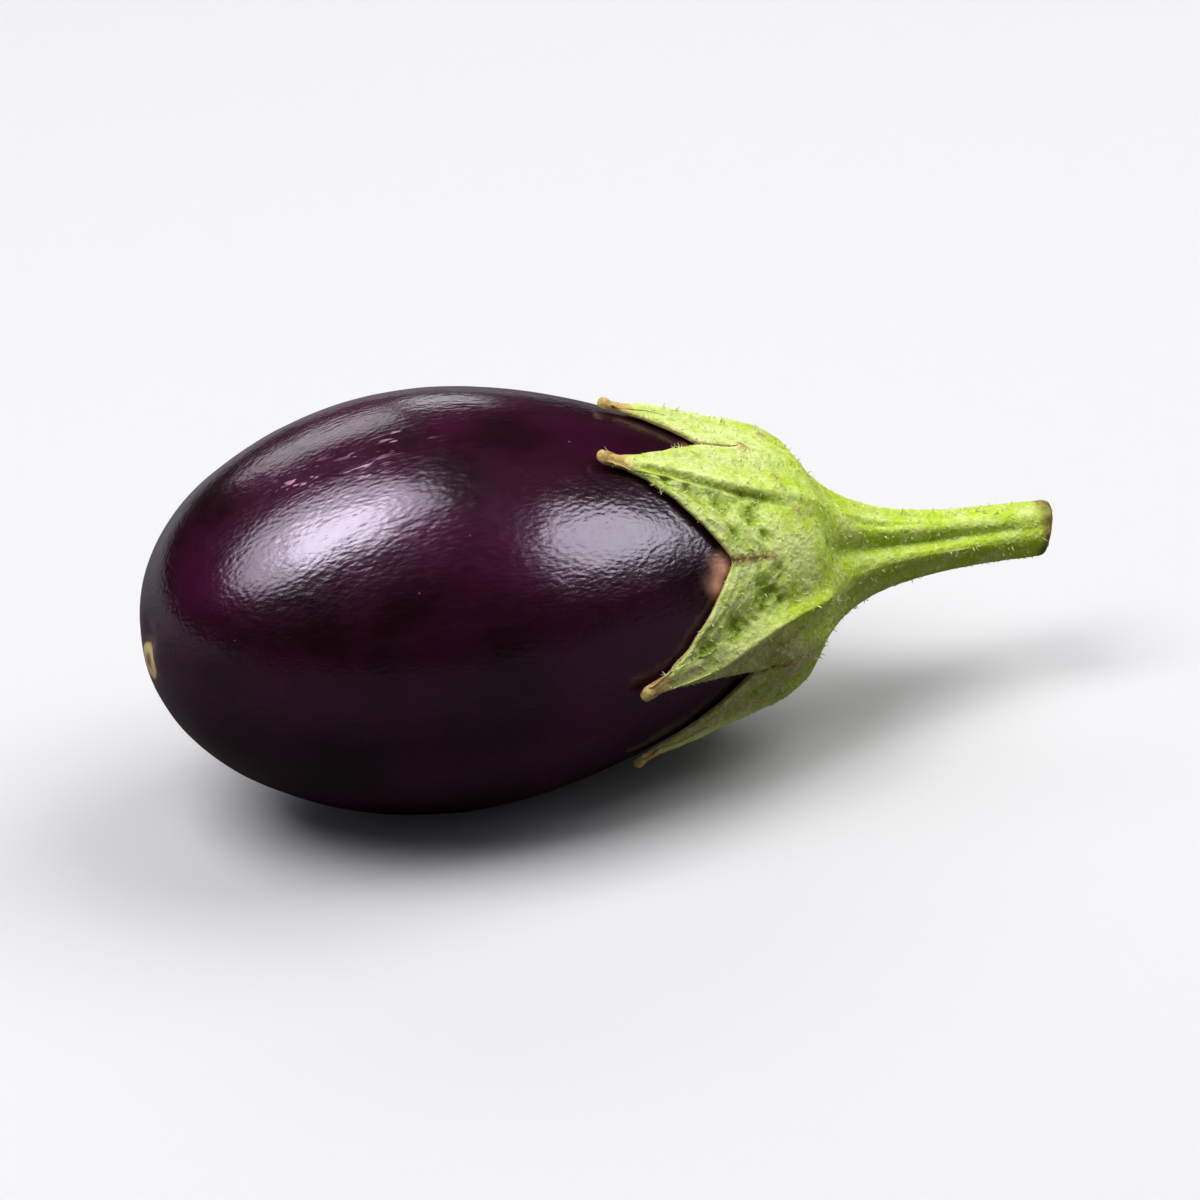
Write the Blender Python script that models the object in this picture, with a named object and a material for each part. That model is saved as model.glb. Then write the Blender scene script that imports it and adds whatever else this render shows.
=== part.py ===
"""A baby eggplant, picked and lying on its side on a small flat spot.

The berry's own axis runs along +X, from the blossom end to the stem end. A place on it is given by its
station, the distance along that axis, and its bearing, the angle round the axis from -Y towards +Z.
The calyx and its stem grew as one green body, which sits on the berry like a cap with pointed lobes.
"""

from math import acos, atan2, cos, exp, pi, radians, sin, sqrt, tau

import bmesh
import bpy
from mathutils import Vector

MM = 0.001

# The berry: its profile is an ellipse whose fullness changes with the cosine of the polar angle.
FRUIT_LENGTH = 76.0 * MM
FRUIT_RADIUS = 22.45 * MM
FULLNESS = (1.0, 0.224, -0.176, -0.143, 0.261)
OVALNESS = 0.011
OVAL_BEARING = radians(15.0)
THREE_SIDED = 0.006
SCAR_RADIUS = 2.0 * MM
SCAR_DEPTH = 0.6 * MM
FRUIT_SEGMENTS = 64
FRUIT_RINGS = 42
NORMAL_STEP = 1e-4

# The stem, which flares into the calyx at its neck.
STEM_END = 102.5 * MM
NECK = 77.0 * MM
STEM_RADIUS = 2.65 * MM
NECK_FLARE = 4.1 * MM
FLARE_LENGTH = 5.6 * MM
END_SWELLING = 0.35 * MM
END_SWELLING_LENGTH = 3.0 * MM
STEM_BEND = 1.3 * MM
STEM_BEND_BEARING = radians(29.0)
RIB_HEIGHT = 0.40 * MM
END_RIB_SHARE = 0.45
CUT_ROUNDING = 0.45 * MM
CUT_SLANT = 0.12
SLANT_START = 0.7
PITH_RADIUS = 1.0 * MM
PITH_DEPTH = 0.35 * MM

# The calyx: the bearing and station of the notch before each lobe, then of the lobe's tip.
LOBES = (
    (-18.4, 62.8, -6.6, 47.2),
    (29.9, 59.6, 64.7, 45.7),
    (81.0, 60.0, 98.0, 50.2),
    (131.0, 61.8, 154.0, 48.6),
    (181.0, 60.6, 206.0, 52.4),
    (231.0, 62.4, 249.0, 51.0),
    (284.0, 61.0, 314.0, 49.8),
)
SIDE_CURVE = 1.85
SKIN_GAP = 0.35 * MM
EDGE_THICKNESS = 0.64 * MM
BLADE_THICKNESS = 1.1 * MM
SHOULDER_THICKNESS = 1.6 * MM
SHOULDER_STATIONS = (60.0 * MM, 73.0 * MM)
COVER_STATIONS = (71.0 * MM, 75.0 * MM)
KEEL_HEIGHT = 0.75 * MM
KEEL_WIDTH = 0.24
VALLEY_DEPTH = 0.35 * MM
BLADE_THINNING = 5
KEEL_THINNING = 6
FINGER_RADIUS = 0.52 * MM
BEAD_RADIUS = 0.85 * MM
BEAD_HEIGHT = 0.4 * MM
BEAD_WIDTH = 0.2
BEAD_REACH = (0.90, 0.97)
FINGER_REACH = 0.6

# The green body's mesh: columns run from the cut end over each lobe to its edge and back underneath.
LOBE_COLUMNS = 12
STEM_RINGS = 11
LOBE_RINGS = 14
INNER_RINGS = 9
EDGE_CROWDING = 1.25
COLUMN_CURVE = 1.5
CUT_FACE = (PITH_RADIUS, STEM_RADIUS)

# How it lies: the stem end hangs lower, where the berry balances, and the underside is worn flat.
REST_TILT = radians(4.5)
FLAT_DEPTH = 0.75 * MM

SKIN_COLOUR = (0.035, 0.006, 0.022, 1.0)
GREEN_COLOUR = (0.33, 0.50, 0.08, 1.0)


def clear_scene():
    """Remove what the new file holds."""
    for thing in list(bpy.data.objects):
        bpy.data.objects.remove(thing, do_unlink=True)


def smoothstep(low, high, value):
    """Rise from 0 at low to 1 at high."""
    x = min(max((value - low) / (high - low), 0.0), 1.0)
    return x * x * (3.0 - 2.0 * x)


def mix(a, b, share):
    """Go from a to b as share goes from 0 to 1."""
    return a + (b - a) * share


def around(station, bearing, radius):
    """The point at a station, a bearing and a distance from the berry's axis."""
    return Vector((station, -radius * cos(bearing), radius * sin(bearing)))


def fruit_radius(polar, bearing):
    """The berry's radius at a polar angle measured from the blossom end."""
    along = cos(polar)
    full = sum(share * along**power for power, share in enumerate(FULLNESS))
    oval = OVALNESS * cos(2.0 * (bearing - OVAL_BEARING)) + THREE_SIDED * cos(3.0 * bearing)
    return FRUIT_RADIUS * sin(polar) * full * (1.0 + oval * sin(polar))


def fruit_point(polar, bearing, gap=0.0):
    """A point on the berry, or at a gap from its skin."""
    station = 0.5 * FRUIT_LENGTH * (1.0 - cos(polar))
    point = around(station, bearing, fruit_radius(polar, bearing))
    if gap:
        point += gap * fruit_normal(polar, bearing)
    return point


def fruit_normal(polar, bearing):
    """The skin's outward direction."""
    if pi - polar < NORMAL_STEP:
        return Vector((1.0, 0.0, 0.0))
    along = fruit_point(polar + NORMAL_STEP, bearing) - fruit_point(polar - NORMAL_STEP, bearing)
    across = fruit_point(polar, bearing + NORMAL_STEP) - fruit_point(polar, bearing - NORMAL_STEP)
    return along.cross(across).normalized()


def station_polar(station):
    """The polar angle of a station."""
    return acos(min(max(1.0 - 2.0 * station / FRUIT_LENGTH, -1.0), 1.0))


def reshaped_sphere(name, segments, rings, place):
    """A UV sphere whose vertices are put where place says, by ring and column."""
    shape = bmesh.new()
    bmesh.ops.create_uvsphere(shape, u_segments=segments, v_segments=rings, radius=1.0)
    for vertex in shape.verts:
        x, y, z = vertex.co
        ring = round(acos(min(max(z, -1.0), 1.0)) / pi * rings)
        column = round(atan2(y, x) / tau * segments) % segments
        vertex.co = place(ring, column)
    bmesh.ops.recalc_face_normals(shape, faces=shape.faces)
    mesh = bpy.data.meshes.new(name)
    shape.to_mesh(mesh)
    shape.free()
    mesh.shade_smooth()
    return bpy.data.objects.new(name, mesh)


def fruit_place(ring, column):
    """Where the berry's mesh goes, with the blossom scar sunk into its free end."""
    point = fruit_point(pi * ring / FRUIT_RINGS, tau * column / FRUIT_SEGMENTS)
    if ring < FRUIT_RINGS // 2:
        from_axis = point.yz.length
        point.x += SCAR_DEPTH * exp(-((from_axis / SCAR_RADIUS) ** 2))
    return point


def lobe_at(column):
    """The lobe that a column lies in, the next one, and how far across it the column is, from 0 to 1."""
    index, step = divmod(column, LOBE_COLUMNS)
    return LOBES[index], LOBES[(index + 1) % len(LOBES)], step / LOBE_COLUMNS


def neck_bearing(column):
    """A column's bearing on the stem."""
    lobe, following, across = lobe_at(column)
    span = (following[0] - lobe[0]) % 360.0
    return radians(lobe[0] + span * across)


def finger_width(left):
    """Half the width of a lobe's finger at a distance left to its tip, with a small bead at its end."""
    bead = sqrt(max(BEAD_RADIUS**2 - (left - BEAD_RADIUS) ** 2, 0.0))
    return bead if left < BEAD_RADIUS else max(bead, FINGER_RADIUS)


def lobe_edge(column):
    """The bearing and station where a column meets its lobe's edge."""
    lobe, following, across = lobe_at(column)
    before = across <= 0.5
    notch = lobe if before else following
    turn = (notch[0] - lobe[2]) % 360.0
    turn = radians(turn - 360.0 if before else turn)
    reach = sin(pi * across)
    tip_station = lobe[3] * MM
    station = mix(notch[1] * MM, tip_station, reach)
    finger = finger_width(station - tip_station) * smoothstep(0.0, FINGER_REACH, reach)
    sideways = finger / fruit_radius(station_polar(station), radians(lobe[2]))
    bearing = radians(lobe[2]) + turn * (1.0 - reach) ** SIDE_CURVE
    return bearing + (-sideways if before else sideways), station


def column_bearing(column, out):
    """A column's bearing as it goes out from the neck, at 0, to its lobe's edge, at 1."""
    start = neck_bearing(column)
    turn = (lobe_edge(column)[0] - start + pi) % tau - pi
    return start + turn * out**COLUMN_CURVE


def flare_radius(station):
    """The stem's radius, which grows into the calyx's shoulders."""
    flare = NECK_FLARE * exp(-(station - NECK) / FLARE_LENGTH)
    swelling = END_SWELLING * smoothstep(STEM_END - END_SWELLING_LENGTH, STEM_END, station)
    return STEM_RADIUS + flare + swelling


def stem_point(station, column, radius):
    """A point on the ribbed stem, whose middle line bends a little towards its end."""
    reach = min(max((station - NECK) / (STEM_END - NECK), 0.0), 1.0)
    rib = RIB_HEIGHT * mix(1.0, END_RIB_SHARE, reach) * cos(tau * (lobe_at(column)[2] - 0.5))
    ribbed = radius + rib * 2.0 * radius / (radius + STEM_RADIUS)
    bearing = neck_bearing(column)
    slant = CUT_SLANT * smoothstep(SLANT_START, 1.0, reach) * radius * sin(bearing)
    bend = around(slant, STEM_BEND_BEARING, STEM_BEND * reach**2)
    return around(station, bearing, ribbed) + bend


def cut_point(ring, column):
    """A point on the cut face, round its sunken pith."""
    if ring == 0:
        return stem_point(STEM_END, column, 0.0) - Vector((PITH_DEPTH, 0.0, 0.0))
    return stem_point(STEM_END, column, CUT_FACE[ring - 1])


def side_point(ring, column):
    """A point on the stem's side, from its cut end to the neck."""
    share = (ring - 1) / (STEM_RINGS - 1)
    station = mix(STEM_END - CUT_ROUNDING, NECK, share)
    return stem_point(station, column, flare_radius(station))


def lobe_point(ring, column):
    """A point on the calyx's outside, from the neck over its shoulder to a lobe's edge."""
    out = 1.0 - (1.0 - ring / LOBE_RINGS) ** EDGE_CROWDING
    station = mix(NECK, lobe_edge(column)[1], out)
    bearing = column_bearing(column, out)
    across = 2.0 * lobe_at(column)[2] - 1.0
    blade = mix(BLADE_THICKNESS, EDGE_THICKNESS, out**BLADE_THINNING)
    keel = KEEL_HEIGHT * exp(-((across / KEEL_WIDTH) ** 2)) * (1.0 - out**KEEL_THINNING)
    valley = VALLEY_DEPTH * sin(pi * out) * sin(pi * abs(across)) ** 2
    bead = BEAD_HEIGHT * smoothstep(*BEAD_REACH, out) * exp(-((across / BEAD_WIDTH) ** 2))
    shoulder = SHOULDER_THICKNESS * smoothstep(*SHOULDER_STATIONS, station)
    thickness = blade + shoulder + keel - valley + bead
    skin = fruit_radius(station_polar(station), bearing)
    cover = around(station, bearing, skin + SKIN_GAP + thickness)
    stem = stem_point(station, column, flare_radius(station))
    return cover.lerp(stem, smoothstep(*COVER_STATIONS, station))


def inner_point(ring, column):
    """A point on the calyx's underside, from a lobe's edge to the berry's stem end."""
    out = 1.0 - ring / INNER_RINGS
    polar = mix(pi, station_polar(lobe_edge(column)[1]), out)
    return fruit_point(polar, column_bearing(column, out), SKIN_GAP)


def green_place(ring, column):
    """Where the green body's mesh goes, ring by ring from the cut face to the inside of the cap."""
    stretches = (
        (len(CUT_FACE) + 1, 0, cut_point),
        (STEM_RINGS, 1, side_point),
        (LOBE_RINGS, 1, lobe_point),
        (INNER_RINGS + 1, 0, inner_point),
    )
    for rings, first, place in stretches:
        if ring < rings:
            return place(ring + first, column)
        ring -= rings
    raise ValueError("the green body has no such ring")


def add_material(thing, colour, roughness):
    """Give a piece its own plain material."""
    material = bpy.data.materials.new(thing.name)
    material.use_nodes = True
    shader = material.node_tree.nodes["Principled BSDF"]
    shader.inputs["Base Color"].default_value = colour
    shader.inputs["Roughness"].default_value = roughness
    shader.inputs["Metallic"].default_value = 0.0
    thing.data.materials.append(material)


def new_collection(name):
    """A collection in the scene."""
    collection = bpy.data.collections.new(name)
    bpy.context.scene.collection.children.link(collection)
    return collection


def lay_down(root, fruit, green):
    """Tilt the eggplant as it balances, and put its box's bottom middle at the origin."""
    root.rotation_euler.y = REST_TILT
    turn = root.rotation_euler.to_matrix()
    places = [[turn @ vertex.co for vertex in piece.data.vertices] for piece in (fruit, green)]
    spans = [[place[axis] for piece in places for place in piece] for axis in range(2)]
    middle = [(min(span) + max(span)) / 2.0 for span in spans]
    lowest = min(place.z for place in places[0])
    root.location = (-middle[0], -middle[1], -lowest - FLAT_DEPTH)


def cut_flat_spot(fruit, cutters):
    """Cut the small flat spot that the berry rests on."""
    bpy.ops.mesh.primitive_cube_add(size=1.0, location=(0.0, 0.0, -0.5 * FRUIT_LENGTH))
    ground = bpy.context.object
    ground.name = "ground"
    ground.scale = (2.0 * FRUIT_LENGTH, 2.0 * FRUIT_LENGTH, FRUIT_LENGTH)
    bpy.ops.object.transform_apply(location=False, rotation=False, scale=True)
    for collection in ground.users_collection:
        collection.objects.unlink(ground)
    cutters.objects.link(ground)
    ground.hide_render = True
    ground.display_type = "WIRE"
    flat = fruit.modifiers.new("flat spot", "BOOLEAN")
    flat.operation = "DIFFERENCE"
    flat.object = ground


def main():
    """Build the eggplant."""
    clear_scene()
    collection = new_collection("baby_eggplant")
    cutters = new_collection("cutters")
    fruit = reshaped_sphere("fruit", FRUIT_SEGMENTS, FRUIT_RINGS, fruit_place)
    add_material(fruit, SKIN_COLOUR, 0.2)
    columns = LOBE_COLUMNS * len(LOBES)
    rings = len(CUT_FACE) + STEM_RINGS + LOBE_RINGS + INNER_RINGS + 1
    green = reshaped_sphere("calyx_and_stem", columns, rings, green_place)
    add_material(green, GREEN_COLOUR, 0.7)
    root = bpy.data.objects.new("baby_eggplant", None)
    collection.objects.link(root)
    for piece in (fruit, green):
        collection.objects.link(piece)
        piece.parent = root
    lay_down(root, fruit, green)
    cut_flat_spot(fruit, cutters)
    bpy.context.view_layer.update()


main()
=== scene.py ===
"""A baby eggplant lying on a pale table: its waxy berry, its felted green calyx and its cut stem.

Sizes are in metres unless a name says otherwise. A place on the berry is given by its station, the
distance along the berry's axis from the blossom end, and by its bearing, the angle round that axis
from -Y towards +Z.
"""

from math import cos, pi, radians, sin, tau

import bpy
import numpy as np
from bpy.props import FloatProperty, FloatVectorProperty, IntProperty, PointerProperty
from mathutils import Euler, Matrix, Vector, kdtree, noise


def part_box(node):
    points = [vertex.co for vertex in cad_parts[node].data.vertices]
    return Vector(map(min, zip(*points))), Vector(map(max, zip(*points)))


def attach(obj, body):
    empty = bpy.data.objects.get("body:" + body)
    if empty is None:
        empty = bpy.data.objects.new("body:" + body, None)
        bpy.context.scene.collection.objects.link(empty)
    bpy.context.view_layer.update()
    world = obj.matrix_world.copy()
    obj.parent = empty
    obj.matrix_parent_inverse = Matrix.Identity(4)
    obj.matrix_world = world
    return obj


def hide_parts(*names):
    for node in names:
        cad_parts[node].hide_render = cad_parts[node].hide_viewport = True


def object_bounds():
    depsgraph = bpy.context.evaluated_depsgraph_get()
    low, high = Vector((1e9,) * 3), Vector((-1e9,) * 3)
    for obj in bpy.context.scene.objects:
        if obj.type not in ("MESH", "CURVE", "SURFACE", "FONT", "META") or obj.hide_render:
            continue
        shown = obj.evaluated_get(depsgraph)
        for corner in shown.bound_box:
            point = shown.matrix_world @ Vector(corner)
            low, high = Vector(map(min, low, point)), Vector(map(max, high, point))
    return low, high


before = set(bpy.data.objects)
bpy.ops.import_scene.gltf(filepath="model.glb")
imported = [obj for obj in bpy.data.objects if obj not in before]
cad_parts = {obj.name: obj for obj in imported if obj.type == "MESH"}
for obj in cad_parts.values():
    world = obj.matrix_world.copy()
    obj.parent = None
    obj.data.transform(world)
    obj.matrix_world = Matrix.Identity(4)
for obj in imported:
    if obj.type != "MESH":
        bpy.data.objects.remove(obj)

bl_info = {
    "name": "Baby Eggplant",
    "version": (1, 0, 0),
    "blender": (4, 5, 0),
    "location": "3D View > Sidebar > Eggplant",
    "description": "Makes a picked baby eggplant with a felted calyx, on a pale table",
    "category": "Add Mesh",
}

MM = 0.001
CAD_BOX = [list(corner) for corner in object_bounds()]

# How the berry lies, and the shape of its profile, which the calyx follows.
REST_TILT = radians(4.5)
FULLNESS = (1.0, 0.224, -0.176, -0.143, 0.261)
OVALNESS = 0.011
OVAL_BEARING = radians(15.0)
THREE_SIDED = 0.006
BERRY_SEGMENTS = 256
BERRY_RINGS = 170

# The green body: the bearing and station of the notch before each lobe, then of the lobe's tip.
LOBES = (
    (-18.4, 62.8, -6.6, 47.2),
    (29.9, 59.6, 64.7, 45.7),
    (81.0, 60.0, 98.0, 50.2),
    (131.0, 61.8, 154.0, 48.6),
    (181.0, 60.6, 206.0, 52.4),
    (231.0, 62.4, 249.0, 51.0),
    (284.0, 61.0, 314.0, 49.8),
)
# Of each lobe and the notch before it: how crumpled the felt beside the notch is; how strongly it is
# painted a dry grey-olive there, partly for real drying and partly as painted shade on the lower lobes;
# how deep the furrow from there up the stem is, how deep the groove beside the midrib is, how high the
# midrib stands, how far it lies aside, near the neck and near the tip, and how far the finger stands
# off the skin, in millimetres.
LOOKS = (
    (0.55, 0.80, 0.40, 0.10, 1.35, 0.15, -0.32, 0.45),
    (1.00, 0.00, 1.00, 1.00, 0.65, -0.08, 0.03, 0.40),
    (0.15, 0.05, 0.45, 0.35, 0.80, 0.05, -0.05, 0.00),
    (0.50, 0.20, 0.60, 0.60, 0.90, -0.10, 0.08, 0.40),
    (0.35, 0.30, 0.35, 0.30, 0.80, 0.10, 0.00, 0.20),
    (0.60, 0.40, 0.70, 0.70, 0.90, 0.00, -0.12, 0.50),
    (0.45, 0.60, 0.40, 0.40, 0.85, -0.06, 0.10, 0.30),
)
# Corky scuffs: the lobe, how far across and out on it they are, and their size in millimetres.
SCUFFS = (
    (1, 0.35, 0.34, 0.7),
    (1, 0.08, 0.31, 0.5),
    (1, -0.38, 0.29, 0.8),
    (2, -0.30, 0.32, 0.8),
    (4, 0.30, 0.40, 0.9),
    (5, -0.40, 0.50, 0.7),
    (6, 0.20, 0.35, 0.8),
    (0, -0.61, 0.52, 1.1),
    (0, -0.39, 0.38, 1.2),
    (0, -0.43, 0.44, 0.9),
    (0, -0.18, 0.31, 0.8),
)
# Hollows in the crumpled felt: the lobe, how far across and out on it they are, and their size in
# millimetres.
HOLLOWS = (
    (0, 0.75, 0.61, 1.5),
    (0, 0.86, 0.71, 1.2),
    (0, 0.64, 0.61, 1.1),
    (0, 0.46, 0.68, 1.3),
    (0, 0.50, 0.83, 1.0),
    (0, 0.92, 0.63, 0.6),
    (0, 0.84, 0.58, 0.6),
    (0, 0.72, 0.53, 0.6),
    (0, 0.55, 0.46, 0.6),
    (1, -0.89, 0.85, 0.7),
    (1, -0.86, 0.63, 0.8),
    (1, -0.68, 0.58, 1.1),
    (1, -0.64, 0.70, 0.9),
    (1, -0.43, 0.45, 1.0),
    (1, -0.25, 0.48, 0.8),
    (1, -0.96, 0.24, 1.0),
    (3, -0.60, 0.60, 1.4),
    (3, 0.50, 0.72, 1.0),
    (4, 0.60, 0.60, 1.2),
    (5, -0.70, 0.66, 1.4),
    (5, 0.50, 0.70, 1.2),
    (6, 0.60, 0.60, 1.3),
    (6, -0.50, 0.74, 1.0),
)
# The calyx over the berry, with its lobes, their fingers and the beads at the fingers' ends. A ramp
# says from where to where one form goes over into the next: from the tip for the fingers and beads, and
# by station for the shoulder and the neck.
LOBE_COLUMNS = 56
LOBE_RINGS = 116
LOBE_TAPER = 1.95
SEAM_START = 0.72
EDGE_RAGGEDNESS = 0.20 * MM
SKIN_GAP = 0.35 * MM
NORMAL_STEP = 1e-4
NECK_THICKNESS = 1.1 * MM
EDGE_THICKNESS = 0.64 * MM
RIM_SHARE = 0.3
FINGER_THICKNESS = 0.60 * MM
FINGER_HALF = 0.36 * MM
FINGER_RAMP = (3.0 * MM, 5.5 * MM)
FINGER_LIFT_REACH = 5.0 * MM
BEAD_RADIUS = 0.76 * MM
BEAD_RISE = 0.45 * MM
BEAD_RAMP = (1.4 * MM, 2.4 * MM)
KEEL_HEIGHT = 0.85 * MM
VALLEY_DEPTH = 0.35 * MM
SHOULDER_HEIGHT = 1.6 * MM
SHOULDER_RAMP = (60.0 * MM, 73.0 * MM)
NECK_RAMP = (71.0 * MM, 75.0 * MM)
# The stem, which flares into the calyx at the neck. Its cut end is slanted and domed, with a rounded
# corner, and its face sinks in over the pith.
STEM_RINGS = 60
NECK = 77.0 * MM
STEM_END = 102.5 * MM
STEM_RADIUS = 2.5 * MM
STEM_BEND = 1.3 * MM
STEM_BEND_BEARING = radians(29.0)
FLARE_START = STEM_RADIUS + 0.15 * MM
FLARE_WIDTH = 4.1 * MM
FLARE_LENGTH = 5.6 * MM
RIB_HEIGHT = 0.30 * MM
FURROW_DEPTH = 1.1 * MM
SHORT_GROOVE_BEARING = radians(61.0)
SHORT_GROOVE_DEPTH = 0.5 * MM
CUT_SLANT = 0.60
CUT_STATION = STEM_END - CUT_SLANT * STEM_RADIUS
CUT_RADIUS = STEM_RADIUS - 0.35 * MM
CUT_CORNER = 1.0 * MM
CUT_DOME = 0.5 * MM
CUT_SUNK = 0.45 * MM
CUT_RIM = CUT_STATION - CUT_DOME
PITH_SHARE = 0.52
# How high or deep the felt's small forms are, in millimetres.
SOFT_LUMPS = 0.08
GRAIN = 0.05
FOLDS = 0.14
FINE_FOLDS = 0.12
PITS = 0.32
HOLLOW_DEPTH = 0.60
GROOVE_DEPTH = 0.38
SHOULDER_PADS = 0.26
SCUFF_HEIGHT = 0.42
SEAM_DEPTH = 0.20
CUT_GRAIN = 0.16
# Marks on the skin: station in millimetres, bearing in degrees, radius in millimetres and strength.
SKIN_SPOTS = {
    "wine": (
        (12.0, 96.0, 6.0, 0.3),
        (5.0, 53.0, 6.0, 0.5),
        (31.0, 42.0, 7.0, 0.5),
        (45.0, -13.0, 10.0, 0.9),
        (27.0, 99.0, 9.0, 0.5),
        (45.0, 200.0, 14.0, 0.6),
        (28.0, 300.0, 11.0, 0.5),
    ),
    "streaked": (
        (15.0, 75.0, 2.4, 1.0),
        (21.0, 72.0, 2.4, 0.9),
        (26.0, 80.0, 2.4, 0.9),
        (44.0, 150.0, 3.5, 0.6),
        (30.0, 235.0, 5.0, 0.7),
    ),
    "shaded": (
        (58.4, 28.0, 2.0, 1.0),
        (57.6, 22.0, 1.9, 0.9),
        (59.0, 81.0, 1.6, 0.5),
        (61.0, 131.0, 2.0, 0.6),
        (60.0, 181.0, 1.8, 0.6),
        (61.6, 231.0, 2.2, 0.5),
        (60.4, 284.0, 1.8, 0.6),
        (62.0, -18.4, 1.6, 0.5),
    ),
}


def linear(hex_colour):
    """An sRGB hex colour as linear red, green, blue and alpha."""
    parts = [int(hex_colour[start : start + 2], 16) / 255.0 for start in (1, 3, 5)]
    return (*(p / 12.92 if p <= 0.04045 else ((p + 0.055) / 1.055) ** 2.4 for p in parts), 1.0)


def add(tree, kind, inputs=None, **settings):
    """Add a node with its settings, set or link its inputs, and return its outputs."""
    new = tree.nodes.new(kind)
    for name, value in settings.items():
        setattr(new, name, value)
    for key, value in (inputs or {}).items():
        if isinstance(value, bpy.types.NodeSocket):
            tree.links.new(value, new.inputs[key])
        else:
            new.inputs[key].default_value = value
    return new.outputs


def smoothstep(low, high, value):
    """Rise from 0 at low to 1 at high."""
    x = np.clip((value - low) / (high - low), 0.0, 1.0)
    return x * x * (3.0 - 2.0 * x)


def mix(a, b, share):
    """Go from a to b as share goes from 0 to 1."""
    return a + (b - a) * share


def geometry_tree(name, inputs):
    """A geometry node tree with named inputs; returns it, its inputs' sockets and its end node."""
    tree = bpy.data.node_groups.new(name, "GeometryNodeTree")
    for way in ("INPUT", "OUTPUT"):
        tree.interface.new_socket(name="Geometry", in_out=way, socket_type="NodeSocketGeometry")
    for label, kind in inputs.items():
        tree.interface.new_socket(name=label, in_out="INPUT", socket_type=kind)
    return tree, tree.nodes.new("NodeGroupInput").outputs, tree.nodes.new("NodeGroupOutput")


def close_tree(tree, geometry, material, end):
    """End a geometry node tree with real meshes in their material."""
    real = add(tree, "GeometryNodeRealizeInstances", {"Geometry": geometry})
    done = add(tree, "GeometryNodeSetMaterial", {"Geometry": real[0], "Material": material})
    tree.links.new(done[0], end.inputs[0])
    return tree


def grow(name, mesh, tree, values):
    """Run a node tree on a mesh and keep its result as a plain mesh on a new object."""
    thing = bpy.data.objects.new(name, mesh)
    bpy.context.scene.collection.objects.link(thing)
    modifier = thing.modifiers.new(name, "NODES")
    modifier.node_group = tree
    items = [item for item in tree.interface.items_tree if item.in_out == "INPUT"]
    sockets = {item.name: item.identifier for item in items}
    for label, value in values.items():
        modifier[sockets[label]] = value
    graph = bpy.context.evaluated_depsgraph_get()
    graph.update()
    result = bpy.data.meshes.new_from_object(thing.evaluated_get(graph), depsgraph=graph)
    result.name = name
    thing.modifiers.remove(modifier)
    thing.data = result
    return thing


def points_of(mesh):
    """A mesh's vertices as an array."""
    places = np.empty(len(mesh.vertices) * 3)
    mesh.vertices.foreach_get("co", places)
    return places.reshape(-1, 3)


def put_points(mesh, places):
    """Move a mesh's vertices."""
    mesh.vertices.foreach_set("co", np.ascontiguousarray(places).ravel())
    mesh.update()


def fit_to_node(mesh, node):
    """Take up the last hundredths of a millimetre between a smooth mesh's box and its solid's."""
    places = points_of(mesh)
    low, high = places.min(axis=0), places.max(axis=0)
    want_low, want_high = (np.array(corner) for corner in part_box(node))
    put_points(mesh, want_low + (places - low) / (high - low) * (want_high - want_low))


def keep_values(mesh, values):
    """Store named values on a mesh's vertices."""
    for name, amounts in values.items():
        attribute = mesh.attributes.new(name, "FLOAT", "POINT")
        attribute.data.foreach_set("value", np.ascontiguousarray(amounts, dtype=np.float32).ravel())


def uneven(places, period, seed):
    """Smooth noise between about -1 and 1 at each place, with bumps about a period apart."""
    shift = Vector((seed * 7.3, seed * 3.1, seed * 5.7))
    return np.array([noise.noise(Vector(place) / period + shift) for place in places])


def dress(thing, node, material):
    """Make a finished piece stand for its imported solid."""
    thing.data.materials.clear()
    thing.data.materials.append(material)
    thing.data.shade_smooth()
    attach(thing, "root")
    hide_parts(node)


def new_material(name):
    """A material with its node tree, its shader and the object coordinates."""
    material = bpy.data.materials.new(name)
    material.use_nodes = True
    tree = material.node_tree
    return material, tree, tree.nodes["Principled BSDF"], add(tree, "ShaderNodeTexCoord")["Object"]


def stain(tree, colour, texture, share, stains):
    """Lay ragged stains over a colour, each given by its named value, two limits and a shade."""
    for name, low, high, shade in stains:
        mask = add(tree, "ShaderNodeAttribute", attribute_name=name)["Fac"]
        ragged = add(tree, "ShaderNodeMath", {0: texture, 1: share, 2: mask}, operation="MULTIPLY_ADD")[0]
        amount = add(tree, "ShaderNodeMapRange", {"Value": ragged, 1: low, 2: high})[0]
        kept = add(tree, "ShaderNodeMath", {0: amount, 1: mask}, operation="MULTIPLY", use_clamp=True)[0]
        colour = add(tree, "ShaderNodeMix", {0: kept, 6: colour, 7: linear(shade)}, data_type="RGBA")[2]
    return colour


def fleck(tree, colour, place, flecks):
    """Lay flecks over a colour, which are the peaks of fine noise, as strongly as a mask says."""
    for mask, scale, detail, low, high, strength, shade in flecks:
        peaks = add(tree, "ShaderNodeTexNoise", {"Vector": place, "Scale": scale, "Detail": detail})["Fac"]
        amount = add(tree, "ShaderNodeMapRange", {"Value": peaks, 1: low, 2: high, 4: strength})[0]
        kept = add(tree, "ShaderNodeMath", {0: amount, 1: mask}, operation="MULTIPLY")[0]
        colour = add(tree, "ShaderNodeMix", {0: kept, 6: colour, 7: linear(shade)}, data_type="RGBA")[2]
    return colour


def soft_dabs(places, middles, sizes, strengths):
    """The strongest of some round soft-edged dabs at each place; sizes are in millimetres."""
    found = np.zeros(len(places))
    for middle, size, strength in zip(middles, sizes, strengths):
        away = np.linalg.norm(places - middle, axis=1) / (size * MM)
        found = np.maximum(found, strength * np.exp(-(away**2)))
    return found


# The berry.


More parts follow.
